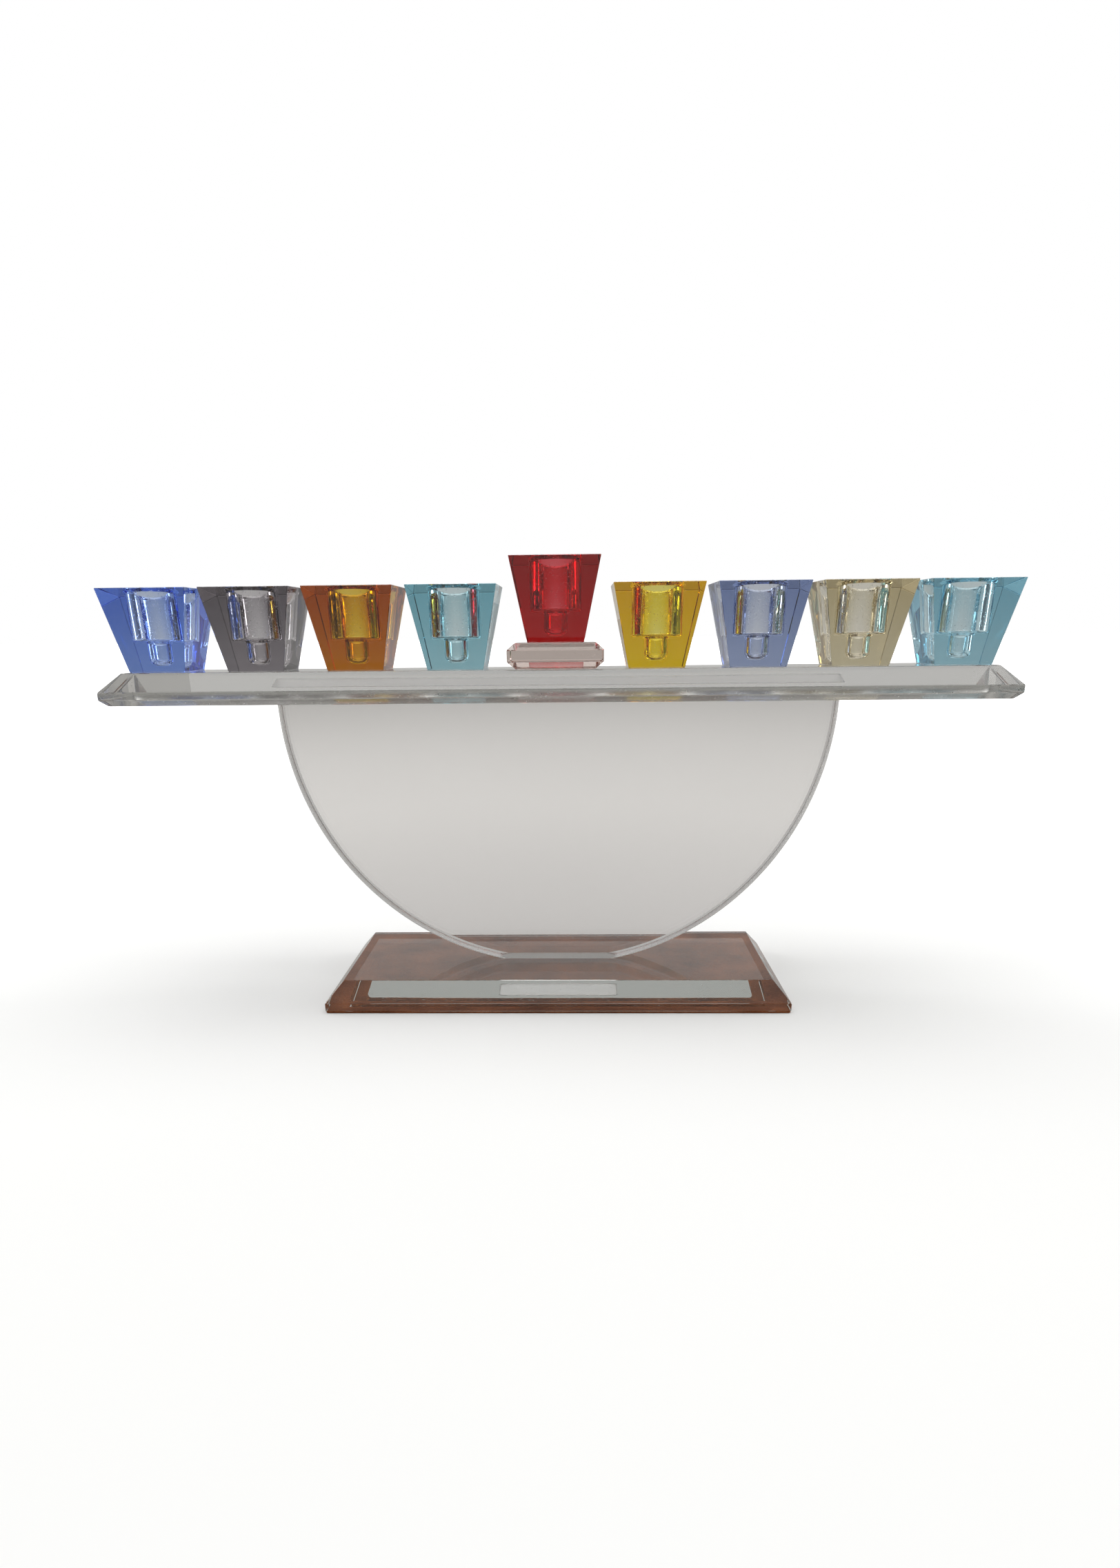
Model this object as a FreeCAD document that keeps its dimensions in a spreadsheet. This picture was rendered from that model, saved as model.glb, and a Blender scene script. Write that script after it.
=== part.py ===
import FreeCAD, Part
import Sketcher

import math
import os

# A nine-light menorah of clear and coloured cut glass, all joints glued.
# Millimetres, +Z up, +X along the bar, -Y is the front, origin under the middle of the base.

sizes = {
    # felt pad and clear base slab
    "pad_thickness": 1.0,
    "pad_inset": 0.3,
    "base_length": 221.0,
    "base_depth": 96.0,
    "base_thickness": 13.0,
    "base_edge_height": 3.8,
    "base_bevel_run": 8.0,
    # upright half disc
    "disc_radius": 131.0,
    "disc_top_cut": 1.4,
    "disc_foot_cut": 3.5,
    "disc_thickness": 13.8,
    "dish_radius": 91.0,
    "dish_floor_radius": 49.5,
    "dish_depth": 0.4,
    # long bar that carries the cups
    "bar_end_margin": 0.45,
    "bar_depth": 59.4,
    "bar_thickness": 14.0,
    "bar_edge_height": 3.3,
    "bar_lower_bevel_rise": 2.7,
    "bar_lower_bevel_run": 3.1,
    "bar_bevel_run": 8.5,
    # block under the middle cup
    "pedestal_width": 43.4,
    "pedestal_height": 11.0,
    "pedestal_edge_height": 5.0,
    "pedestal_lower_bevel_rise": 3.0,
    "pedestal_lower_bevel_run": 3.4,
    "pedestal_bevel_run": 3.4,
    # cups and their stepped candle bores
    "cup_gap": 5.4,
    "cup_height": 35.7,
    "cup_top_width": 40.4,
    "cup_foot_width": 25.7,
    "mouth_bore_diameter": 23.6,
    "mouth_flare": 0.8,
    "mouth_floor_round": 1.2,
    "shank_bore_diameter": 11.0,
    "shank_bore_depth": 10.4,
    "shank_chamfer": 0.7,
    "shank_floor_round": 2.6,
    "cup_floor": 3.3,
    # clear adhesive between the glued faces
    "film_thickness": 0.2,
    "film_inset": 0.4,
}

# Left to right as seen from the front; the fifth is the raised one in the middle.
cup_names = [
    "cup_1_cobalt_blue",
    "cup_2_smoke_grey",
    "cup_3_amber",
    "cup_4_light_blue",
    "cup_5_shamash_red",
    "cup_6_yellow",
    "cup_7_indigo",
    "cup_8_champagne",
    "cup_9_aqua",
]
middle = 4

doc = FreeCAD.newDocument("menorah")
sheet = doc.addObject("Spreadsheet::Sheet", "Dimensions")
for row, (alias, value) in enumerate(sizes.items(), start=1):
    sheet.set(f"A{row}", alias)
    sheet.set(f"B{row}", str(value))
    sheet.setAlias(f"B{row}", alias)
doc.recompute()

# The foot cut is measured up from the full disc's lowest point, the top cut down from its centre.
disc_height = "Dimensions.disc_radius - Dimensions.disc_top_cut - Dimensions.disc_foot_cut"
disc_centre = "Dimensions.disc_radius - Dimensions.disc_foot_cut"
disc_foot_length = f"2 * sqrt(Dimensions.disc_radius ^ 2 - ({disc_centre}) ^ 2)"
disc_top_length = "2 * sqrt(Dimensions.disc_radius ^ 2 - Dimensions.disc_top_cut ^ 2)"

# The bar's flat top is as long as the row of cup feet, with a margin at each end.
cup_pitch = "(Dimensions.cup_top_width + Dimensions.cup_gap)"
bar_length = (
    f"{len(cup_names) - 1} * {cup_pitch} + Dimensions.cup_foot_width"
    " + 2 * Dimensions.bar_end_margin + 2 * Dimensions.bar_bevel_run"
)

# Heights of the glued faces, from the pad upwards.
base_bottom = "Dimensions.pad_thickness"
base_top = f"{base_bottom} + Dimensions.base_thickness"
disc_bottom = f"{base_top} + Dimensions.film_thickness"
disc_top = f"{disc_bottom} + {disc_height}"
bar_bottom = f"{disc_top} + Dimensions.film_thickness"
bar_top = f"{bar_bottom} + Dimensions.bar_thickness"
row_bottom = f"{bar_top} + Dimensions.film_thickness"
pedestal_top = f"{row_bottom} + Dimensions.pedestal_height"
raised_bottom = f"{pedestal_top} + Dimensions.film_thickness"


def place(item, x, y, z):
    item.setExpression("Placement.Base.x", x)
    item.setExpression("Placement.Base.y", y)
    item.setExpression("Placement.Base.z", z)


def bind(item, expressions):
    for name, expression in expressions.items():
        item.setExpression(name, expression)


def new_body(name):
    body = doc.addObject("PartDesign::Body", name)
    body.Label = name
    return body


def plane_of(body, role):
    return [f for f in body.Origin.OriginFeatures if f.Role == role][0]


def slab_layer(body, name, length, depth, bottom, rise, run_below, run_above):
    """A layer of a bevelled slab: its lower and upper faces are drawn in by a run each."""
    layer = body.newObject("PartDesign::AdditiveWedge", f"{body.Name}_{name}")
    layer.Placement = FreeCAD.Placement(
        FreeCAD.Vector(0, 0, 0), FreeCAD.Rotation(FreeCAD.Vector(1, 0, 0), 90)
    )
    bind(
        layer,
        {
            "Ymin": bottom,
            "Ymax": f"{bottom} + {rise}",
            "Xmin": f"-({length}) / 2 + {run_below}",
            "Xmax": f"({length}) / 2 - {run_below}",
            "Zmin": f"-({depth}) / 2 + {run_below}",
            "Zmax": f"({depth}) / 2 - {run_below}",
            "X2min": f"-({length}) / 2 + {run_above}",
            "X2max": f"({length}) / 2 - {run_above}",
            "Z2min": f"-({depth}) / 2 + {run_above}",
            "Z2max": f"({depth}) / 2 - {run_above}",
        },
    )
    return layer


def bevelled_slab(name, prefix, length, depth, thickness, lower_bevel, z):
    """A flat block with a straight edge band, a bevel round the top and, if asked, the bottom."""
    body = new_body(name)
    edge = f"Dimensions.{prefix}_edge_height"
    run = f"Dimensions.{prefix}_bevel_run"
    rise = f"Dimensions.{prefix}_lower_bevel_rise" if lower_bevel else "0"
    start = "0"
    if lower_bevel:
        lower_run = f"Dimensions.{prefix}_lower_bevel_run"
        slab_layer(body, "lower_bevel", length, depth, start, rise, lower_run, "0")
        start = rise
    slab_layer(body, "edge", length, depth, start, edge, "0", "0")
    above = f"{start} + {edge}" if lower_bevel else edge
    slab_layer(body, "bevel", length, depth, above, f"{thickness} - ({above})", "0", run)
    place(body, "0", "0", z)
    return body


def glued_film(name, length, depth, x, z):
    film = doc.addObject("Part::Box", name)
    film.Label = name
    bind(film, {"Length": length, "Width": depth, "Height": "Dimensions.film_thickness"})
    place(film, f"{x} - ({length}) / 2", f"-({depth}) / 2", z)
    return film


def base_pad():
    pad = doc.addObject("Part::Box", "base_pad")
    pad.Label = "base_pad"
    length = "Dimensions.base_length - 2 * Dimensions.pad_inset"
    depth = "Dimensions.base_depth - 2 * Dimensions.pad_inset"
    bind(pad, {"Length": length, "Width": depth, "Height": "Dimensions.pad_thickness"})
    place(pad, f"-({length}) / 2", f"-({depth}) / 2", "0")
    return pad


def base_slab():
    return bevelled_slab(
        "base_slab",
        "base",
        "Dimensions.base_length",
        "Dimensions.base_depth",
        "Dimensions.base_thickness",
        False,
        base_bottom,
    )


def disc_outline(body):
    """The disc seen from the front, foot flat on the body's X axis and Z up."""
    radius = sizes["disc_radius"]
    centre = radius - sizes["disc_foot_cut"]
    height = centre - sizes["disc_top_cut"]
    top_half = math.sqrt(radius**2 - sizes["disc_top_cut"] ** 2)
    foot_half = math.sqrt(radius**2 - centre**2)
    sketch = body.newObject("Sketcher::SketchObject", "half_disc_outline")
    sketch.AttachmentSupport = (plane_of(body, "XZ_Plane"), [""])
    sketch.MapMode = "FlatFace"
    point = FreeCAD.Vector
    foot = sketch.addGeometry(Part.LineSegment(point(-foot_half, 0, 0), point(foot_half, 0, 0)))
    top = sketch.addGeometry(
        Part.LineSegment(point(top_half, height, 0), point(-top_half, height, 0))
    )
    circle = Part.Circle(point(0, centre, 0), point(0, 0, 1), radius)
    right_start = math.atan2(-centre, foot_half)
    right_end = math.atan2(height - centre, top_half)
    right = sketch.addGeometry(Part.ArcOfCircle(circle, right_start, right_end))
    left = sketch.addGeometry(
        Part.ArcOfCircle(circle, math.pi - right_end, math.pi - right_start)
    )
    join = Sketcher.Constraint
    sketch.addConstraint(
        [
            join("Coincident", foot, 2, right, 1),
            join("Coincident", right, 2, top, 1),
            join("Coincident", top, 2, left, 1),
            join("Coincident", left, 2, foot, 1),
            join("Horizontal", foot),
            join("Horizontal", top),
            join("PointOnObject", foot, 1, -1),
            join("PointOnObject", right, 3, -2),
            join("Coincident", right, 3, left, 3),
        ]
    )
    sizing = {
        "radius": (join("Radius", right, radius), "Dimensions.disc_radius"),
        "height": (join("DistanceY", -1, 1, top, 1, height), disc_height),
        "centre_height": (join("DistanceY", -1, 1, right, 3, centre), disc_centre),
    }
    for name, (constraint, expression) in sizing.items():
        index = sketch.addConstraint(constraint)
        sketch.renameConstraint(index, name)
        sketch.setExpression(f"Constraints.{name}", expression)
    return sketch


def half_disc():
    """The plate, with a wide shallow dish turned into its rear face round the disc's centre."""
    body = new_body("half_disc")
    plate = body.newObject("PartDesign::Pad", "half_disc_plate")
    plate.Profile = disc_outline(body)
    plate.Midplane = True
    plate.setExpression("Length", "Dimensions.disc_thickness")
    doc.recompute()
    dish = body.newObject("PartDesign::SubtractiveCone", "half_disc_dish")
    dish.Placement.Rotation = FreeCAD.Rotation(FreeCAD.Vector(1, 0, 0), 90)
    bind(
        dish,
        {
            "Radius1": "Dimensions.dish_radius",
            "Radius2": "Dimensions.dish_floor_radius",
            "Height": "Dimensions.dish_depth",
            "Placement.Base.y": "Dimensions.disc_thickness / 2",
            "Placement.Base.z": disc_centre,
        },
    )
    body.Tip = dish
    place(body, "0", "0", disc_bottom)
    return body


def top_bar():
    return bevelled_slab(
        "top_bar",
        "bar",
        bar_length,
        "Dimensions.bar_depth",
        "Dimensions.bar_thickness",
        True,
        bar_bottom,
    )


def shamash_pedestal():
    return bevelled_slab(
        "shamash_pedestal",
        "pedestal",
        "Dimensions.pedestal_width",
        "Dimensions.pedestal_width",
        "Dimensions.pedestal_height",
        True,
        row_bottom,
    )


def ring_edges(shape, radius, height):
    """Names of the round edges of one radius that lie at one height."""
    names = []
    for number, edge in enumerate(shape.Edges, start=1):
        curve = edge.Curve
        if not isinstance(curve, Part.Circle):
            continue
        same_radius = abs(curve.Radius - radius) < 1e-4
        if same_radius and abs(curve.Center.z - height) < 1e-4:
            names.append(f"Edge{number}")
    return names


def bore(body, name, diameter, bottom, depth):
    hole = body.newObject("PartDesign::SubtractiveCylinder", f"{body.Name}_{name}")
    bind(hole, {"Radius": f"{diameter} / 2", "Height": depth, "Placement.Base.z": bottom})
    doc.recompute()
    return hole


def dress(body, kind, name, base, radius, height, prop, alias):
    """A chamfer or fillet on the round edge of one radius at one height of the cup."""
    feature = body.newObject(f"PartDesign::{kind}", f"{body.Name}_{name}")
    feature.Base = (base, ring_edges(base.Shape, radius, height))
    feature.setExpression(prop, f"Dimensions.{alias}")
    doc.recompute()
    return feature


def candle_cup(name, index):
    """An upside-down cut pyramid with a wide bore for candles and a narrow one below it."""
    body = new_body(name)
    height = "Dimensions.cup_height"
    width = "Dimensions.cup_top_width"
    run = "(Dimensions.cup_top_width - Dimensions.cup_foot_width) / 2"
    slab_layer(body, "block", width, width, "0", height, run, "0")
    doc.recompute()
    floor = "Dimensions.cup_floor"
    step = f"{floor} + Dimensions.shank_bore_depth"
    bore(body, "mouth", "Dimensions.mouth_bore_diameter", step, f"{height} - ({step})")
    last = bore(body, "shank", "Dimensions.shank_bore_diameter", floor, "Dimensions.shank_bore_depth")
    mouth_radius = sizes["mouth_bore_diameter"] / 2
    shank_radius = sizes["shank_bore_diameter"] / 2
    top_height = sizes["cup_height"]
    floor_height = sizes["cup_floor"]
    step_height = floor_height + sizes["shank_bore_depth"]
    last = dress(body, "Chamfer", "flare", last, mouth_radius, top_height, "Size", "mouth_flare")
    last = dress(body, "Chamfer", "lead_in", last, shank_radius, step_height, "Size", "shank_chamfer")
    last = dress(
        body, "Fillet", "mouth_round", last, mouth_radius, step_height, "Radius", "mouth_floor_round"
    )
    last = dress(
        body, "Fillet", "shank_round", last, shank_radius, floor_height, "Radius", "shank_floor_round"
    )
    body.Tip = last
    bottom = raised_bottom if index == middle else row_bottom
    place(body, f"{index - middle} * {cup_pitch}", "0", bottom)
    return body


def adhesive_films():
    films = []
    inset = "2 * Dimensions.film_inset"
    disc_depth = f"Dimensions.disc_thickness - {inset}"
    films.append(
        glued_film("film_disc_foot", f"{disc_foot_length} - {inset}", disc_depth, "0", base_top)
    )
    films.append(
        glued_film("film_disc_top", f"{disc_top_length} - {inset}", disc_depth, "0", disc_top)
    )
    foot = "Dimensions.pedestal_width - 2 * Dimensions.pedestal_lower_bevel_run"
    films.append(
        glued_film("film_pedestal", f"{foot} - {inset}", f"{foot} - {inset}", "0", bar_top)
    )
    for index in range(len(cup_names)):
        width = f"Dimensions.cup_foot_width - {inset}"
        x = f"{index - middle} * {cup_pitch}"
        z = pedestal_top if index == middle else bar_top
        films.append(glued_film(f"film_cup_{index + 1}", width, width, x, z))
    return films


nodes = [base_pad(), base_slab(), half_disc(), top_bar(), shamash_pedestal()]
for index, name in enumerate(cup_names):
    nodes.append(candle_cup(name, index))
nodes.extend(adhesive_films())
doc.recompute()

for item in doc.Objects:
    if "Invalid" in item.State or "Error" in item.State:
        raise RuntimeError(f"{item.Name}: {item.State}")

os.makedirs("parts", exist_ok=True)
for node in nodes:
    shape = node.Shape
    if shape.isNull() or not shape.isValid() or len(shape.Solids) != 1:
        raise RuntimeError(f"{node.Label}: not one valid solid")
    shape.exportStep(f"parts/{node.Label}.step")
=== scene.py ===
import bmesh
import bpy
import math
from mathutils import Euler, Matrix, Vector


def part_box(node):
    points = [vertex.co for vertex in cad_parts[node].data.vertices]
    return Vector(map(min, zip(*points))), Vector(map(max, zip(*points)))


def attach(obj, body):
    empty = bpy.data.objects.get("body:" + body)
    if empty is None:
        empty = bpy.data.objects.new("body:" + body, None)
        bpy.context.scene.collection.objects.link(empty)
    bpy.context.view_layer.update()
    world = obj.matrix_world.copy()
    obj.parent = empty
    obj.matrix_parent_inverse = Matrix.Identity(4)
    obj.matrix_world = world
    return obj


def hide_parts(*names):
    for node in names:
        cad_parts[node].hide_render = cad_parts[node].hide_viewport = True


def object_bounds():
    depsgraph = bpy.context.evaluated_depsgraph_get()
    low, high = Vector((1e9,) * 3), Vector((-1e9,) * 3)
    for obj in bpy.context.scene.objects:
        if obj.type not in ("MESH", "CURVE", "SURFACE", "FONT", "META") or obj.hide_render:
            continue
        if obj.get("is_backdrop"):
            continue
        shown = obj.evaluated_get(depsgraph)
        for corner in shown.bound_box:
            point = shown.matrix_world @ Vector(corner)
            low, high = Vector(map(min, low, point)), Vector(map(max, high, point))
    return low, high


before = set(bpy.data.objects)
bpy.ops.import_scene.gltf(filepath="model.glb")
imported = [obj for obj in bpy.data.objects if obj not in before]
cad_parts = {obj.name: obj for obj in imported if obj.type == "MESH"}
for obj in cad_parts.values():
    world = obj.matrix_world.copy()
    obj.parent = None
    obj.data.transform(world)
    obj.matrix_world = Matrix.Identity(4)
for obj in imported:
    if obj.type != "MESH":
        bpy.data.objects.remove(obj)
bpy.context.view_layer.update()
scene = bpy.context.scene
scene.view_settings.view_transform = "Standard"
scene.cycles.max_bounces = 24  # light crosses many glass faces here
scene.cycles.transmission_bounces = 24
scene.cycles.glossy_bounces = 12
scene.cycles.diffuse_bounces = 3
print("frame loaded,", len(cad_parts), "nodes")

# camera, floor and light

cameraView = {
    "place": (0.0095, -0.4809, 0.1701),
    "turn": (69.996, 0.574, 1.448),  # degrees
    "lens": 22.49,
    "shift": (0.0062, 0.1306),
}

studio = {
    "floorRadius": 30.0,
    "floorDrop": 0.0001,
    "floorSides": 96,
    "floorRoughness": 0.9,
    "floorSeen": (0.86, 0.86, 0.855),  # what the camera sees
    "nearInGlass": (0.50, 0.49, 0.48),  # for all other rays: the duller room that the glass shows, darker near the middle as painted shade where the object's shadow falls
    "farInGlass": (0.57, 0.56, 0.545),
    "nearToFar": (0.1, 0.6),  # metres from the middle, over which the painted shade near the object fades out
    "fadeToWhite": (0.5, 1.8),  # metres, for the camera alone
    "skySeen": (1.0, 1.0, 1.0),
    "skyLow": (0.53, 0.525, 0.51),
    "skyMiddle": (0.46, 0.46, 0.45),
    "skyFront": (0.14, 0.14, 0.15),
    "skyFrontHigh": (0.62, 0.62, 0.6),
    "skyTop": (1.5, 1.5, 1.5),
    "middleRise": (0.06, 0.35),  # heights on a sky of radius 1
    "frontRise": (0.2, 0.7),
    "frontToBack": (-0.5, 0.3),
    "topRise": (0.82, 0.97),
}

softLights = {
    "overhead": {"place": (0.1, 0.3, 2.3), "aim": (0, 0.3, 0), "size": (2.4, 2.2), "power": 28},
    "leftWindow": {"place": (-1.3, 0.5, 0.55), "aim": (0, 0, 0.15), "size": (0.35, 0.9), "power": 5},
    "rightWindow": {"place": (1.35, 0.25, 0.5), "aim": (0, 0, 0.15), "size": (0.3, 0.8), "power": 4},
}


def addCamera():
    data = bpy.data.cameras.new("camera")
    data.lens = cameraView["lens"]
    data.shift_x, data.shift_y = cameraView["shift"]
    data.clip_start, data.clip_end = 0.01, 100
    camera = bpy.data.objects.new("camera", data)
    camera.location = cameraView["place"]
    camera.rotation_euler = Euler([math.radians(a) for a in cameraView["turn"]])
    scene.collection.objects.link(camera)
    scene.camera = camera


def mixColours(nodes, links, factor, first, second):
    mix = nodes.new("ShaderNodeMix")
    mix.data_type = "RGBA"
    sockets = {s.identifier: s for s in mix.inputs}
    links.new(factor, sockets["Factor_Float"])
    for socket, colour in ((sockets["A_Color"], first), (sockets["B_Color"], second)):
        if isinstance(colour, bpy.types.NodeSocket):
            links.new(colour, socket)
        else:
            socket.default_value = (*colour, 1)
    return {s.identifier: s for s in mix.outputs}["Result_Color"]


def mapRange(nodes, links, value, low, high, kind="SMOOTHSTEP"):
    node = nodes.new("ShaderNodeMapRange")
    node.interpolation_type = kind
    links.new(value, node.inputs["Value"])
    node.inputs["From Min"].default_value = low
    node.inputs["From Max"].default_value = high
    return node.outputs["Result"]


def calculate(nodes, links, operation, first, second, third=None):
    node = nodes.new("ShaderNodeMath")
    node.operation = operation
    for socket, value in zip(node.inputs, (first, second, third)):
        if value is None:
            continue
        if isinstance(value, bpy.types.NodeSocket):
            links.new(value, socket)
        else:
            socket.default_value = value
    return node.outputs[0]


def addFloor():
    bm = bmesh.new()
    bmesh.ops.create_circle(bm, cap_ends=True, segments=studio["floorSides"], radius=studio["floorRadius"])
    mesh = bpy.data.meshes.new("studioFloor")
    bm.to_mesh(mesh)
    bm.free()
    floor = bpy.data.objects.new("studioFloor", mesh)
    floor.location.z = -studio["floorDrop"]
    scene.collection.objects.link(floor)
    paper = bpy.data.materials.new("floorPaper")
    paper.use_nodes = True
    nodes, links = paper.node_tree.nodes, paper.node_tree.links
    shader = nodes["Principled BSDF"]
    shader.inputs["Roughness"].default_value = studio["floorRoughness"]
    shader.inputs["Specular IOR Level"].default_value = 0.0
    shader.inputs["Emission Color"].default_value = (1, 1, 1, 1)
    distance = nodes.new("ShaderNodeVectorMath")
    distance.operation = "LENGTH"
    links.new(nodes.new("ShaderNodeTexCoord").outputs["Object"], distance.inputs[0])
    away = distance.outputs["Value"]
    seen = nodes.new("ShaderNodeLightPath").outputs["Is Camera Ray"]
    # the floor that glass shows gets painted shade near the object, lifting with distance
    far = mapRange(nodes, links, away, *studio["nearToFar"])
    dull = mixColours(nodes, links, far, studio["nearInGlass"], studio["farInGlass"])
    links.new(mixColours(nodes, links, seen, dull, studio["floorSeen"]), shader.inputs["Base Color"])
    fade = mapRange(nodes, links, away, *studio["fadeToWhite"])
    links.new(calculate(nodes, links, "MULTIPLY", fade, seen), shader.inputs["Emission Strength"])
    mesh.materials.append(paper)
    floor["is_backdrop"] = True


def addSky():
    world = bpy.data.worlds.new("studioSky")
    scene.world = world
    world.use_nodes = True
    nodes, links = world.node_tree.nodes, world.node_tree.links
    place = nodes.new("ShaderNodeTexCoord")
    axes = nodes.new("ShaderNodeSeparateXYZ")
    links.new(place.outputs["Generated"], axes.inputs[0])
    middleRise = mapRange(nodes, links, axes.outputs["Z"], *studio["middleRise"])
    behind = mixColours(nodes, links, middleRise, studio["skyLow"], studio["skyMiddle"])
    frontRise = mapRange(nodes, links, axes.outputs["Z"], *studio["frontRise"])
    inFront = mixColours(nodes, links, frontRise, studio["skyFront"], studio["skyFrontHigh"])
    ahead = mapRange(nodes, links, axes.outputs["Y"], *studio["frontToBack"])
    around = mixColours(nodes, links, ahead, inFront, behind)
    above = mapRange(nodes, links, axes.outputs["Z"], *studio["topRise"])
    room = mixColours(nodes, links, above, around, studio["skyTop"])
    ray = nodes.new("ShaderNodeLightPath")
    whole = mixColours(nodes, links, ray.outputs["Is Camera Ray"], room, studio["skySeen"])
    links.new(whole, nodes["Background"].inputs["Color"])


def addLights():
    for name, spec in softLights.items():
        data = bpy.data.lights.new(name, "AREA")
        data.shape = "RECTANGLE"
        data.size, data.size_y = spec["size"]
        data.energy = spec["power"]
        light = bpy.data.objects.new(name, data)
        light.location = spec["place"]
        aim = Vector(spec["aim"]) - Vector(spec["place"])
        light.rotation_euler = aim.to_track_quat("-Z", "Y").to_euler()
        scene.collection.objects.link(light)


addCamera()
addFloor()
addSky()
addLights()
print("camera, floor and lights ready")

# shader groups that several pieces share


def newGroup(name, inputs, outputs):
    group = bpy.data.node_groups.new(name, "ShaderNodeTree")
    for label, kind in inputs.items():
        group.interface.new_socket(name=label, in_out="INPUT", socket_type="NodeSocket" + kind)
    for label in outputs:
        group.interface.new_socket(name=label, in_out="OUTPUT", socket_type="NodeSocketFloat")
    return group, group.nodes.new("NodeGroupInput"), group.nodes.new("NodeGroupOutput")


def noise(nodes, links, vector, look):
    texture = nodes.new("ShaderNodeTexNoise")
    texture.inputs["Scale"].default_value = look["scale"]
    texture.inputs["Detail"].default_value = look["detail"]
    links.new(vector, texture.inputs["Vector"])
    return texture.outputs["Fac"]


def spots(nodes, links, vector, look):  # the noise's peaks alone
    return mapRange(nodes, links, noise(nodes, links, vector, look), *look["range"])


polishLook = {
    "haze": {"scale": 45, "detail": 4, "range": (0.52, 0.72)},
    "dust": {"scale": 1400, "detail": 0, "range": (0.79, 0.83)},
    "wave": {"scale": 38, "detail": 1},
    "dustHeight": 0.6,
}


def makePolishGroup():  # hand-polished glass: slow waves, thin haze, specks of dust
    inputs = {"Vector": "Vector", "Haze": "Float", "Dust": "Float"}
    group, start, end = newGroup("glassPolish", inputs, ["Roughness", "Height"])
    nodes, links = group.nodes, group.links
    vector = start.outputs["Vector"]
    cloud = spots(nodes, links, vector, polishLook["haze"])
    haze = calculate(nodes, links, "MULTIPLY", cloud, start.outputs["Haze"])
    speck = spots(nodes, links, vector, polishLook["dust"])
    dust = calculate(nodes, links, "MULTIPLY", speck, start.outputs["Dust"])
    links.new(calculate(nodes, links, "ADD", haze, dust), end.inputs["Roughness"])
    slow = noise(nodes, links, vector, polishLook["wave"])
    height = calculate(nodes, links, "MULTIPLY_ADD", speck, polishLook["dustHeight"], slow)
    links.new(height, end.inputs["Height"])
    return group


boreLook = {
    "stretch": (1, 1, 0.1),
    "streak": {"scale": 480, "detail": 2},
    "pit": {"scale": 900, "detail": 1, "range": (0.64, 0.72)},
    "pitHeight": -0.8,
    "pitRoughness": 0.08,
    "depth": 0.0001,
}


def makeBoreGroup():  # upright streaks and pits of a drilled and fire-polished wall
    inputs = {"Vector": "Vector", "Mask": "Float"}
    group, start, end = newGroup("boreMarks", inputs, ["Roughness", "Height"])
    nodes, links = group.nodes, group.links
    stretch = nodes.new("ShaderNodeVectorMath")
    stretch.operation = "MULTIPLY"
    stretch.inputs[1].default_value = boreLook["stretch"]
    links.new(start.outputs["Vector"], stretch.inputs[0])
    streak = noise(nodes, links, stretch.outputs[0], boreLook["streak"])
    pit = spots(nodes, links, start.outputs["Vector"], boreLook["pit"])
    both = calculate(nodes, links, "MULTIPLY_ADD", pit, boreLook["pitHeight"], streak)
    mask = start.outputs["Mask"]
    links.new(calculate(nodes, links, "MULTIPLY", both, mask), end.inputs["Height"])
    links.new(calculate(nodes, links, "MULTIPLY", pit, mask), end.inputs["Roughness"])
    return group


polishGroup = makePolishGroup()
boreGroup = makeBoreGroup()

# materials

glassIndex = 1.52


def newMaterial(name):
    material = bpy.data.materials.new(name)
    material.use_nodes = True
    nodes, links = material.node_tree.nodes, material.node_tree.links
    place = nodes.new("ShaderNodeTexCoord").outputs["Object"]
    return material, nodes, links, nodes["Principled BSDF"], place


def addBump(nodes, links, height, distance, before=None):
    bump = nodes.new("ShaderNodeBump")
    bump.inputs["Distance"].default_value = distance
    links.new(height, bump.inputs["Height"])
    if before:
        links.new(before, bump.inputs["Normal"])
    return bump.outputs["Normal"]


def makeGlass(name, tint, through, haze=0.012, dust=0.15, wave=0.00002, ground=0.0, bored=False):
    material, nodes, links, shader, place = newMaterial(name)
    shader.inputs["Base Color"].default_value = (1, 1, 1, 1)
    shader.inputs["Transmission Weight"].default_value = 1
    shader.inputs["IOR"].default_value = glassIndex
    polish = nodes.new("ShaderNodeGroup")
    polish.node_tree = polishGroup
    polish.inputs["Haze"].default_value = haze
    polish.inputs["Dust"].default_value = dust
    links.new(place, polish.inputs["Vector"])
    roughness = polish.outputs["Roughness"]
    normal = addBump(nodes, links, polish.outputs["Height"], wave)
    if ground:
        edge = nodes.new("ShaderNodeAttribute")
        edge.attribute_name = "groundEdge"
        roughness = calculate(nodes, links, "MULTIPLY_ADD", edge.outputs["Fac"], ground, roughness)
    if bored:
        mask = nodes.new("ShaderNodeAttribute")
        mask.attribute_name = "boreWall"
        marks = nodes.new("ShaderNodeGroup")
        marks.node_tree = boreGroup
        links.new(place, marks.inputs["Vector"])
        links.new(mask.outputs["Fac"], marks.inputs["Mask"])
        pitted = marks.outputs["Roughness"]
        rough = boreLook["pitRoughness"]
        roughness = calculate(nodes, links, "MULTIPLY_ADD", pitted, rough, roughness)
        normal = addBump(nodes, links, marks.outputs["Height"], boreLook["depth"], normal)
    links.new(roughness, shader.inputs["Roughness"])
    links.new(normal, shader.inputs["Normal"])
    loss = [-math.log(share) / through for share in tint]  # per metre of glass
    body = nodes.new("ShaderNodeVolumeAbsorption")
    body.inputs["Color"].default_value = (*[1 - part / max(loss) for part in loss], 1)
    body.inputs["Density"].default_value = max(loss)
    links.new(body.outputs["Volume"], nodes["Material Output"].inputs["Volume"])
    return material


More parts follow.
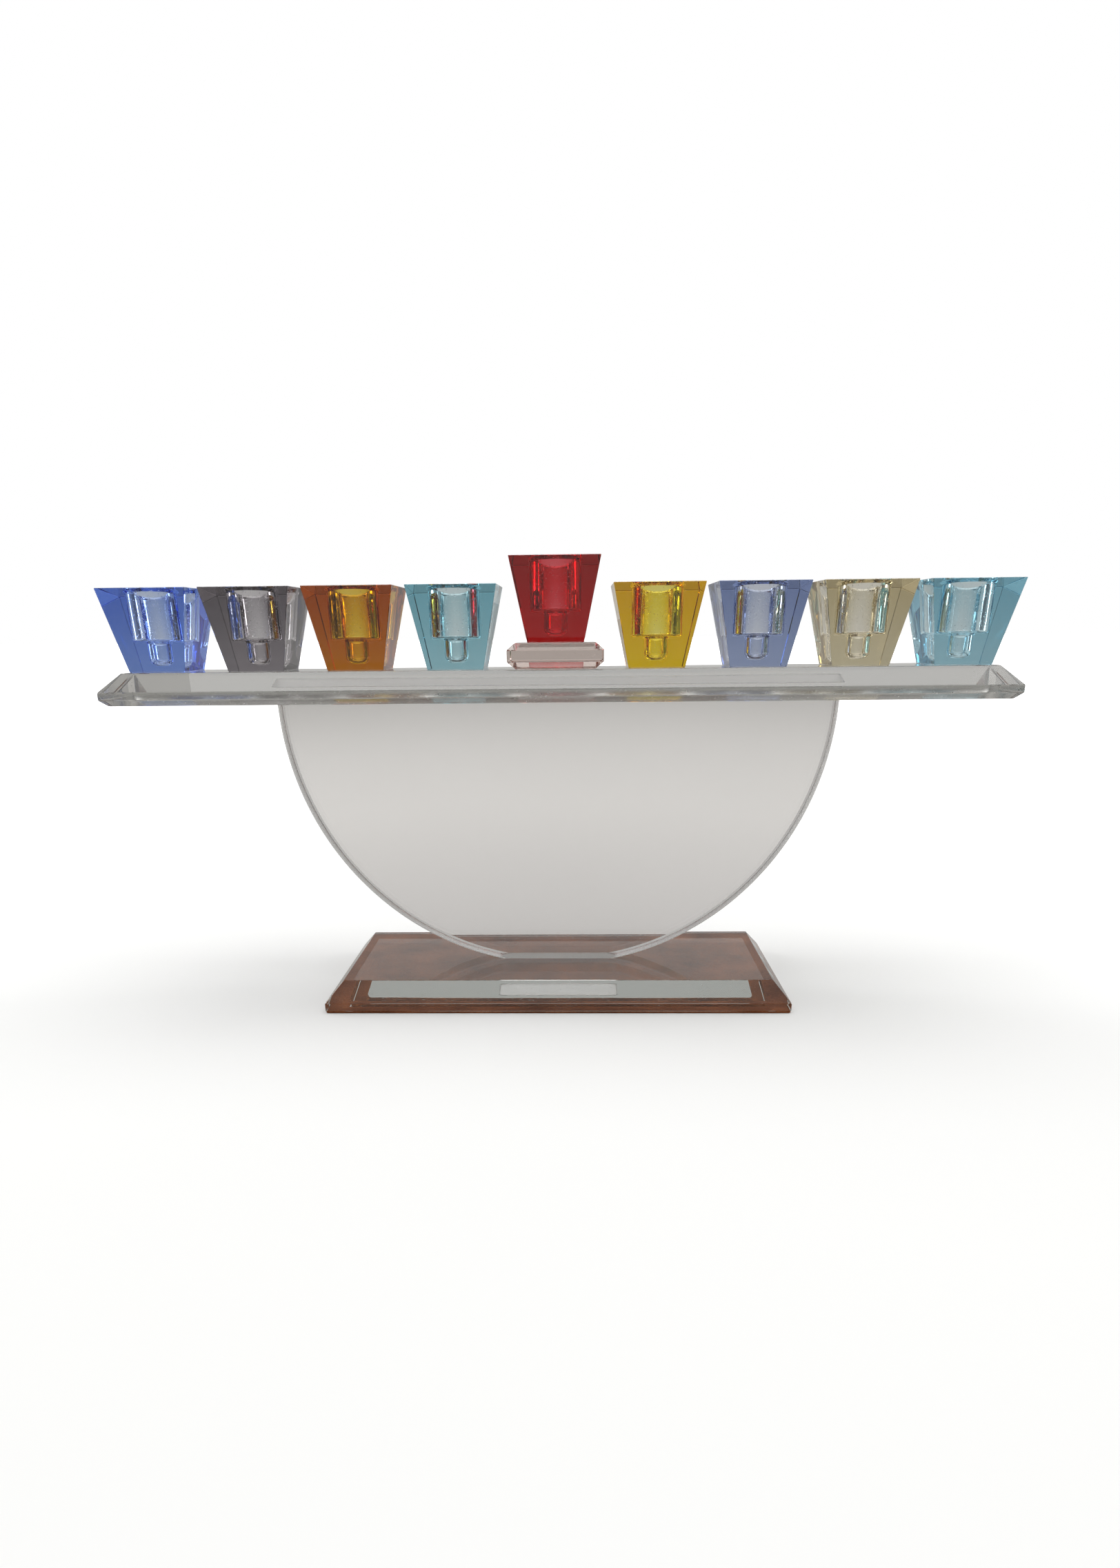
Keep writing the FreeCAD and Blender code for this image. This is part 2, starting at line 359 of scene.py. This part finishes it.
feltLook = {
    "dark": (0.14, 0.042, 0.014),
    "light": (0.46, 0.155, 0.058),
    "mottle": {"scale": 35, "detail": 5},
    "fibre": {"scale": 900, "detail": 3},
    "fibreShare": 0.45,
    "spread": (0.5, 0.95),
    "roughness": 0.95,
    "shine": 0.2,
    "fibreHeight": 0.0002,
}


def makeFelt():
    material, nodes, links, shader, place = newMaterial("brownFelt")
    shader.inputs["Roughness"].default_value = feltLook["roughness"]
    shader.inputs["Specular IOR Level"].default_value = feltLook["shine"]
    mottle = noise(nodes, links, place, feltLook["mottle"])
    fibre = noise(nodes, links, place, feltLook["fibre"])
    both = calculate(nodes, links, "MULTIPLY_ADD", fibre, feltLook["fibreShare"], mottle)
    share = mapRange(nodes, links, both, *feltLook["spread"], kind="LINEAR")
    colour = mixColours(nodes, links, share, feltLook["dark"], feltLook["light"])
    links.new(colour, shader.inputs["Base Color"])
    links.new(addBump(nodes, links, fibre, feltLook["fibreHeight"]), shader.inputs["Normal"])
    return material


speckLook = {
    "grain": {"scale": 2500, "detail": 2},
    "dark": (0.8, 0.8, 0.78),
    "light": (1, 1, 1),
    "roughness": 0.7,
}


def makeSpeckPaint():
    material, nodes, links, shader, place = newMaterial("drySpeck")
    grain = noise(nodes, links, place, speckLook["grain"])
    colour = mixColours(nodes, links, grain, speckLook["dark"], speckLook["light"])
    links.new(colour, shader.inputs["Base Color"])
    shader.inputs["Roughness"].default_value = speckLook["roughness"]
    return material


clearTint = {  # light left after the given length of glass
    "baseGlass": {"tint": (0.80, 0.82, 0.80), "through": 0.06},
    "discGlass": {"tint": (0.94, 0.93, 0.925), "through": 0.0138, "ground": 0.35},
    "barGlass": {"tint": (0.57, 0.565, 0.545), "through": 0.06, "ground": 0.18},
    # the pedestal's pink tint is painted red light: it stands in for the red that the red cup above casts
    # into the clear pedestal
    "pedestalGlass": {"tint": (0.92, 0.76, 0.70), "through": 0.06},
    "curedGlue": {"tint": (0.9, 0.9, 0.88), "through": 0.005, "haze": 0.1},
}

clearGlass = {name: makeGlass(name, **look) for name, look in clearTint.items()}
speckPaint = makeSpeckPaint()
felt = makeFelt()
print("materials ready")

# cut glass shapes

contact = 0.00003  # glued glass is let into its neighbour by this much
turnedCrease = math.radians(20)
flatCrease = math.radians(0.1)


def thickness(node):
    low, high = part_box(node)
    return high.z - low.z


def centre(node):
    low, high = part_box(node)
    return (low.x + high.x) / 2, (low.y + high.y) / 2


filmGap = thickness("film_cup_1")


def squareLoop(bm, middle, halfX, halfY, cut, z, perSide):  # anticlockwise from the front left
    corners = [(-halfX, -halfY), (halfX, -halfY), (halfX, halfY), (-halfX, halfY)]
    loop = []
    for side in range(4):
        start, stop = Vector(corners[side]), Vector(corners[(side + 1) % 4])
        along = (stop - start).normalized() * cut
        for step in range(perSide):
            point = (start + along).lerp(stop - along, step / (perSide - 1))
            loop.append(bm.verts.new((middle[0] + point.x, middle[1] + point.y, z)))
    return loop


def roundLoop(bm, middle, radius, z, perSide):
    loop = []
    for number in range(4 * perSide):
        angle = math.radians(-135 + 90 * (number + 0.5) / perSide)
        x = middle[0] + radius * math.cos(angle)
        y = middle[1] + radius * math.sin(angle)
        loop.append(bm.verts.new((x, y, z)))
    return loop


def joinLoops(bm, lower, upper, smooth=False):
    count = len(lower)
    for i in range(count):
        j = (i + 1) % count
        face = bm.faces.new((lower[i], lower[j], upper[j], upper[i]))
        face.smooth = smooth


def softened(levels, amount):  # each corner of the profile becomes a narrow flat
    path = [Vector((levels[0][0] + 1, levels[0][1]))]
    path += [Vector(p) for p in levels]
    path += [Vector((levels[-1][0] + 1, levels[-1][1]))]
    result = []
    for before, corner, after in zip(path, path[1:], path[2:]):
        result.append(corner + (before - corner).normalized() * amount)
        result.append(corner + (after - corner).normalized() * amount)
    return result


def finishPiece(name, mesh, material, replaced=()):
    mesh.materials.clear()
    mesh.materials.append(material)
    piece = bpy.data.objects.new(name, mesh)
    scene.collection.objects.link(piece)
    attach(piece, "root")
    if replaced:
        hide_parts(*replaced)
    return piece


def toMesh(name, bm):  # crisp edges round flat faces, soft ones within a turned surface
    bm.normal_update()
    for edge in bm.edges:
        turned = all(face.smooth for face in edge.link_faces)
        edge.smooth = edge.calc_face_angle(0) < (turnedCrease if turned else flatCrease)
    for face in bm.faces:  # Cycles loses track of a glass body that is only partly smooth
        face.smooth = True
    mesh = bpy.data.meshes.new(name)
    bm.to_mesh(mesh)
    bm.free()
    return mesh


def markGround(bm, isGround):  # faces left finely ground instead of polished
    ground = bm.faces.layers.float.new("groundEdge")
    bm.normal_update()
    for face in bm.faces:
        face[ground] = float(isGround(face.normal))


def cutSlab(name, node, levels, soft, material, sink=0.0):
    low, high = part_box(node)
    halfX, halfY = (high.x - low.x) / 2, (high.y - low.y) / 2
    bm = bmesh.new()
    loops = []
    for run, z in softened(levels, soft):
        loops.append(squareLoop(bm, centre(node), halfX - run, halfY - run, soft, low.z + z, 2))
    for vert in loops[0]:
        vert.co.z -= sink
    bm.faces.new(reversed(loops[0]))
    for lower, upper in zip(loops, loops[1:]):
        joinLoops(bm, lower, upper)
    bm.faces.new(loops[-1])
    markGround(bm, lambda normal: -0.9 < normal.z < 0.1)
    return finishPiece(name, toMesh(name, bm), material, [node])


def slabLevels(cut, node):
    rise = cut["lowerRise"]
    levels = [(cut["lowerRun"], 0)] if rise else []
    levels += [(0, rise), (0, rise + cut["edgeHeight"]), (cut["bevelRun"], thickness(node))]
    return levels


baseCut = {"lowerRise": 0, "edgeHeight": 0.0038, "bevelRun": 0.008, "soft": 0.0002}

barCut = {
    "lowerRise": 0.0027,
    "lowerRun": 0.0031,
    "edgeHeight": 0.0033,
    "bevelRun": 0.0085,
    "soft": 0.0003,
}

pedestalCut = {
    "lowerRise": 0.003,
    "lowerRun": 0.0034,
    "edgeHeight": 0.005,
    "bevelRun": 0.0034,
    "soft": 0.00025,
}

padCut = {"soft": 0.0003, "air": 0.00005, "gluedBorder": 0.0095, "slope": 0.001}

slabs = [
    ("clearBase", "base_slab", baseCut, "baseGlass", 0.0),
    ("clearBar", "top_bar", barCut, "barGlass", 0.0),
    ("clearPedestal", "shamash_pedestal", pedestalCut, "pedestalGlass", filmGap + contact),
]

for name, node, cut, glass, sink in slabs:
    cutSlab(name, node, slabLevels(cut, node), cut["soft"], clearGlass[glass], sink)

padTop = thickness("base_pad") + contact
padLevels = [  # glued along its border, loose and just clear of the glass inside it
    (0, 0),
    (0, padTop),
    (padCut["gluedBorder"], padTop),
    (padCut["gluedBorder"] + padCut["slope"], padTop - contact - padCut["air"]),
]
cutSlab("feltPad", "base_pad", padLevels, padCut["soft"], felt)
print("base, bar, pedestal and pad made")

# half disc

discCut = {
    "centreAboveTop": 0.0014,
    "radius": 0.131,
    "soft": 0.0009,
    "arcSteps": 200,
    "ringSteps": 256,
    "dishRadius": 0.091,
    "dishFloorRadius": 0.0495,
    "dishDepth": 0.0004,
}


def discLoop(bm, inset, y, foot, top, middle):
    radius = discCut["radius"] - inset
    low = math.asin((foot - middle) / radius)
    high = math.asin((top - middle) / radius)
    steps = discCut["arcSteps"]
    loop = []
    for side in (1, -1):
        for step in range(steps + 1):
            share = step / steps if side == 1 else 1 - step / steps
            angle = low + (high - low) * share
            x, z = side * radius * math.cos(angle), middle + radius * math.sin(angle)
            loop.append(bm.verts.new((x, y, z)))
    return loop


def dishCutter(y, middle):  # a wide flat cone that is turned out of the rear face
    wide, floor, depth = discCut["dishRadius"], discCut["dishFloorRadius"], discCut["dishDepth"]
    profile = [(floor, y - depth), (wide, y), (2 * wide - floor, y + depth)]
    steps = discCut["ringSteps"]
    bm = bmesh.new()
    rings = []
    for radius, across in profile:
        ring = []
        for step in range(steps):
            angle = 2 * math.pi * step / steps
            point = (radius * math.cos(angle), across, middle + radius * math.sin(angle))
            ring.append(bm.verts.new(point))
        rings.append(ring)
    bm.faces.new(rings[0])
    for ring, following in zip(rings, rings[1:]):
        joinLoops(bm, ring, following, smooth=True)
    bm.faces.new(reversed(rings[-1]))
    bmesh.ops.recalc_face_normals(bm, faces=bm.faces)
    mesh = bpy.data.meshes.new("dishCutter")
    bm.to_mesh(mesh)
    bm.free()
    cutter = bpy.data.objects.new("dishCutter", mesh)
    scene.collection.objects.link(cutter)
    return cutter


def settle(piece):  # the modifiers' result as a plain mesh
    ready = piece.evaluated_get(bpy.context.evaluated_depsgraph_get())
    result = bpy.data.meshes.new_from_object(ready)
    result.name = piece.name
    return result


def makeDisc():
    low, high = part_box("half_disc")
    foot, top = low.z - filmGap - contact, high.z + filmGap + contact
    middle = high.z + discCut["centreAboveTop"]
    soft = discCut["soft"]
    bm = bmesh.new()
    outline = [(soft, low.y), (0, low.y + soft), (0, high.y - soft), (soft, high.y)]
    loops = [discLoop(bm, inset, y, foot, top, middle) for inset, y in outline]
    bm.faces.new(loops[0])
    for front, rear in zip(loops, loops[1:]):
        joinLoops(bm, rear, front, smooth=True)
    bm.faces.new(reversed(loops[-1]))
    blank = bpy.data.meshes.new("discBlank")
    bm.to_mesh(blank)
    bm.free()
    raw = bpy.data.objects.new("discBlank", blank)
    scene.collection.objects.link(raw)
    cutter = dishCutter(high.y, middle)
    dish = raw.modifiers.new("dish", "BOOLEAN")
    dish.operation = "DIFFERENCE"
    dish.solver = "EXACT"
    dish.object = cutter
    bm = bmesh.new()
    bm.from_mesh(settle(raw))
    for spare in (raw, cutter):
        bpy.data.objects.remove(spare)
    markGround(bm, lambda normal: abs(normal.y) < 0.9)
    mesh = toMesh("clearHalfDisc", bm)
    finishPiece("clearHalfDisc", mesh, clearGlass["discGlass"], ["half_disc"])


makeDisc()
print("half disc made")

# geometry node trees


def newTree(name, inputs):
    tree = bpy.data.node_groups.new(name, "GeometryNodeTree")
    tree.interface.new_socket(name="Geometry", in_out="OUTPUT", socket_type="NodeSocketGeometry")
    for label, kind in inputs.items():
        tree.interface.new_socket(name=label, in_out="INPUT", socket_type="NodeSocket" + kind)
    return tree, tree.nodes.new("NodeGroupInput").outputs, tree.nodes.new("NodeGroupOutput").inputs


def growMesh(name, tree, values):  # runs a tree by itself and keeps the plain mesh
    holder = bpy.data.objects.new(name, bpy.data.meshes.new(name))
    scene.collection.objects.link(holder)
    modifier = holder.modifiers.new(name, "NODES")
    modifier.node_group = tree
    for item in tree.interface.items_tree:
        if item.in_out == "INPUT" and item.name in values:
            modifier[item.identifier] = values[item.name]
    mesh = settle(holder)
    bpy.data.objects.remove(holder)
    return mesh


def setUp(nodes, kind, **values):
    node = nodes.new(kind)
    for label, value in values.items():
        setattr(node, label, value)
    return node


def endTree(nodes, links, geometry, material, result):
    painted = nodes.new("GeometryNodeSetMaterial")
    links.new(geometry, painted.inputs["Geometry"])
    links.new(material, painted.inputs["Material"])
    links.new(painted.outputs["Geometry"], result["Geometry"])


beadLook = {
    "corner": 0.0006,
    "cornerCuts": 4,
    "spacing": 0.0009,
    "radius": 0.00022,
    "sides": 8,
    "wander": 0.00025,
    "wanderScale": 260,
}


def makeBeadTree():  # squeezed-out glue: a thin wandering rope round a glued foot
    inputs = {
        "Width": "Float",
        "Depth": "Float",
        "Corner": "Float",
        "Bead Radius": "Float",
        "Wander": "Float",
        "Place": "Vector",
        "Seed": "Float",
        "Material": "Material",
    }
    tree, given, result = newTree("glueBead", inputs)
    nodes, links = tree.nodes, tree.links
    outline = nodes.new("GeometryNodeCurvePrimitiveQuadrilateral")
    links.new(given["Width"], outline.inputs["Width"])
    links.new(given["Depth"], outline.inputs["Height"])
    rounded = setUp(nodes, "GeometryNodeFilletCurve", mode="POLY")
    rounded.inputs["Count"].default_value = beadLook["cornerCuts"]
    links.new(outline.outputs["Curve"], rounded.inputs["Curve"])
    links.new(given["Corner"], rounded.inputs["Radius"])
    fine = setUp(nodes, "GeometryNodeResampleCurve", mode="LENGTH")
    fine.inputs["Length"].default_value = beadLook["spacing"]
    links.new(rounded.outputs["Curve"], fine.inputs["Curve"])
    texture = setUp(nodes, "ShaderNodeTexNoise", noise_dimensions="4D")
    texture.inputs["Scale"].default_value = beadLook["wanderScale"]
    links.new(given["Seed"], texture.inputs["W"])
    centred = setUp(nodes, "ShaderNodeVectorMath", operation="SUBTRACT")
    centred.inputs[1].default_value = (0.5, 0.5, 0.5)
    links.new(texture.outputs["Color"], centred.inputs[0])
    flat = setUp(nodes, "ShaderNodeVectorMath", operation="MULTIPLY")
    flat.inputs[1].default_value = (1, 1, 0)
    links.new(centred.outputs[0], flat.inputs[0])
    offset = setUp(nodes, "ShaderNodeVectorMath", operation="SCALE")
    links.new(flat.outputs[0], offset.inputs[0])
    links.new(given["Wander"], offset.inputs["Scale"])
    moved = nodes.new("GeometryNodeSetPosition")
    links.new(fine.outputs["Curve"], moved.inputs["Geometry"])
    links.new(offset.outputs[0], moved.inputs["Offset"])
    rope = nodes.new("GeometryNodeCurvePrimitiveCircle")
    rope.inputs["Resolution"].default_value = beadLook["sides"]
    links.new(given["Bead Radius"], rope.inputs["Radius"])
    body = nodes.new("GeometryNodeCurveToMesh")
    links.new(moved.outputs["Geometry"], body.inputs["Curve"])
    links.new(rope.outputs["Curve"], body.inputs["Profile Curve"])
    placed = nodes.new("GeometryNodeTransform")
    links.new(body.outputs["Mesh"], placed.inputs["Geometry"])
    links.new(given["Place"], placed.inputs["Translation"])
    endTree(nodes, links, placed.outputs["Geometry"], given["Material"], result)
    return tree


speckShape = {"guideSides": 48, "ballDetail": 2}


def makeSpeckTree():  # pin-head balls scattered over a bore's wall
    inputs = {
        "Guide Radius": "Float",
        "Height": "Float",
        "Place": "Vector",
        "Density": "Float",
        "Smallest": "Float",
        "Largest": "Float",
        "Hollow": "Bool",
        "Seed": "Int",
        "Material": "Material",
    }
    tree, given, result = newTree("wallSpecks", inputs)
    nodes, links = tree.nodes, tree.links
    guide = setUp(nodes, "GeometryNodeMeshCylinder", fill_type="NONE")
    guide.inputs["Vertices"].default_value = speckShape["guideSides"]
    links.new(given["Guide Radius"], guide.inputs["Radius"])
    links.new(given["Height"], guide.inputs["Depth"])
    spread = nodes.new("GeometryNodeDistributePointsOnFaces")
    links.new(guide.outputs["Mesh"], spread.inputs["Mesh"])
    links.new(given["Density"], spread.inputs["Density"])
    links.new(given["Seed"], spread.inputs["Seed"])
    ball = nodes.new("GeometryNodeMeshIcoSphere")
    ball.inputs["Radius"].default_value = 1
    ball.inputs["Subdivisions"].default_value = speckShape["ballDetail"]
    size = setUp(nodes, "FunctionNodeRandomValue", data_type="FLOAT")
    sizeIn = [s for s in size.inputs if s.enabled]
    links.new(given["Smallest"], sizeIn[0])
    links.new(given["Largest"], sizeIn[1])
    links.new(given["Seed"], size.inputs["Seed"])
    many = nodes.new("GeometryNodeInstanceOnPoints")
    links.new(spread.outputs["Points"], many.inputs["Points"])
    links.new(ball.outputs["Mesh"], many.inputs["Instance"])
    links.new([s for s in size.outputs if s.enabled][0], many.inputs["Scale"])
    placed = nodes.new("GeometryNodeTransform")
    links.new(many.outputs["Instances"], placed.inputs["Geometry"])
    links.new(given["Place"], placed.inputs["Translation"])
    real = nodes.new("GeometryNodeRealizeInstances")
    links.new(placed.outputs["Geometry"], real.inputs["Geometry"])
    turned = nodes.new("GeometryNodeFlipFaces")
    links.new(real.outputs["Geometry"], turned.inputs["Mesh"])
    links.new(given["Hollow"], turned.inputs["Selection"])
    endTree(nodes, links, turned.outputs["Mesh"], given["Material"], result)
    return tree


beadTree = makeBeadTree()
speckTree = makeSpeckTree()

# candle cups

cupCut = {
    "footWidth": 0.0257,
    "soft": 0.00022,
    "mouthRadius": 0.0118,
    "flare": 0.0008,
    "mouthRound": 0.0012,
    "shankRadius": 0.0055,
    "leadIn": 0.0007,
    "shankRound": 0.0034,
    "floor": 0.0033,
    "step": 0.0137,
    "perSide": 32,
}

tintThrough = 0.03

cupTints = {  # light left after tintThrough metres of the glass
    "cup_1_cobalt_blue": (0.18, 0.31, 0.80),
    "cup_2_smoke_grey": (0.23, 0.21, 0.23),
    "cup_3_amber": (0.50, 0.14, 0.0001),
    "cup_4_light_blue": (0.32, 0.62, 0.72),
    "cup_5_shamash_red": (0.44, 0.0002, 0.0004),
    "cup_6_yellow": (0.84, 0.54, 0.003),
    "cup_7_indigo": (0.32, 0.40, 0.64),
    "cup_8_champagne": (0.68, 0.60, 0.40),
    "cup_9_aqua": (0.34, 0.62, 0.74),
}

bubbles = {
    "fromWall": 0.0005,
    "perSquareMetre": 20000,
    "smallest": 0.00008,
    "largest": 0.00026,
    "seed": 0,
}

drySpecks = {  # chalky dust left on the bored walls
    "fromWall": -0.0003,
    "perSquareMetre": 26000,
    "smallest": 0.00008,
    "largest": 0.00022,
    "seed": 20,
}


def quarterRound(middleR, middleZ, radius, steps=6):
    result = []
    for step in range(steps + 1):
        angle = math.radians(-90 * step / steps)
        result.append((middleR + radius * math.cos(angle), middleZ + radius * math.sin(angle)))
    return result


def borePath(height):  # from the mouth's rim down to the middle of the floor
    c = cupCut
    path = [(c["mouthRadius"] + c["flare"], height), (c["mouthRadius"], height - c["flare"])]
    path += quarterRound(c["mouthRadius"] - c["mouthRound"], c["step"] + c["mouthRound"], c["mouthRound"])
    path += [(c["shankRadius"] + c["leadIn"], c["step"]), (c["shankRadius"], c["step"] - c["leadIn"])]
    path += quarterRound(c["shankRadius"] - c["shankRound"], c["floor"] + c["shankRound"], c["shankRound"])
    return path


def scatter(number, node, material, look, hollow):
    low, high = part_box(node)
    wallHeight = high.z - low.z - cupCut["step"] - 2 * cupCut["flare"]
    values = {
        "Guide Radius": cupCut["mouthRadius"] + look["fromWall"],
        "Height": wallHeight,
        "Place": (*centre(node), high.z - cupCut["flare"] - wallHeight / 2),
        "Density": float(look["perSquareMetre"]),
        "Smallest": look["smallest"],
        "Largest": look["largest"],
        "Hollow": hollow,
        "Seed": number + look["seed"],
        "Material": material,
    }
    return growMesh("scattered", speckTree, values)


def makeCup(number, node, tint):
    low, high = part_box(node)
    middle = centre(node)
    half = (high.x - low.x) / 2
    height = high.z - low.z
    word = "".join(part.capitalize() for part in node.split("_")[2:])
    glass = makeGlass("glass" + word, tint, tintThrough, bored=True)
    bm = bmesh.new()
    wall = bm.verts.layers.float.new("boreWall")
    outer = []
    for run, z in softened([(half - cupCut["footWidth"] / 2, 0), (0, height)], cupCut["soft"]):
        width = half - run
        outer.append(squareLoop(bm, middle, width, width, cupCut["soft"], low.z + z, cupCut["perSide"]))
    for vert in outer[0]:
        vert.co.z -= filmGap + contact
    bore = [roundLoop(bm, middle, r, low.z + z, cupCut["perSide"]) for r, z in borePath(height)]
    bm.faces.new(reversed(outer[0]))
    for lower, upper in zip(outer, outer[1:] + bore[:1]):
        joinLoops(bm, lower, upper)
    for upper, lower in zip(bore, bore[1:]):
        joinLoops(bm, upper, lower, smooth=True)
    bm.faces.new(bore[-1])
    for loop in bore[1:]:
        for vert in loop:
            vert[wall] = 1
    bm.from_mesh(scatter(number, node, glass, bubbles, True))
    name = "cup" + word
    finishPiece(name, toMesh(name, bm), glass, [node])
    dust = scatter(number, node, speckPaint, drySpecks, False)
    finishPiece("specks" + word, dust, speckPaint)


for number, (node, tint) in enumerate(cupTints.items()):
    makeCup(number, node, tint)
print("cups made")

# cured glue round each glued face

for number, node in enumerate(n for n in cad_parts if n.startswith("film_")):
    low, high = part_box(node)
    mesh = growMesh(
        "bead",
        beadTree,
        {
            "Width": high.x - low.x,
            "Depth": high.y - low.y,
            "Corner": beadLook["corner"],
            "Bead Radius": beadLook["radius"],
            "Wander": beadLook["wander"],
            "Place": (*centre(node), (low.z + high.z) / 2),
            "Seed": float(number),
            "Material": clearGlass["curedGlue"],
        },
    )
    mesh.shade_smooth()
    name = "bead" + "".join(part.capitalize() for part in node.split("_")[1:])
    finishPiece(name, mesh, clearGlass["curedGlue"], [node])
print("glue beads made")

low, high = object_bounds()
print("done")
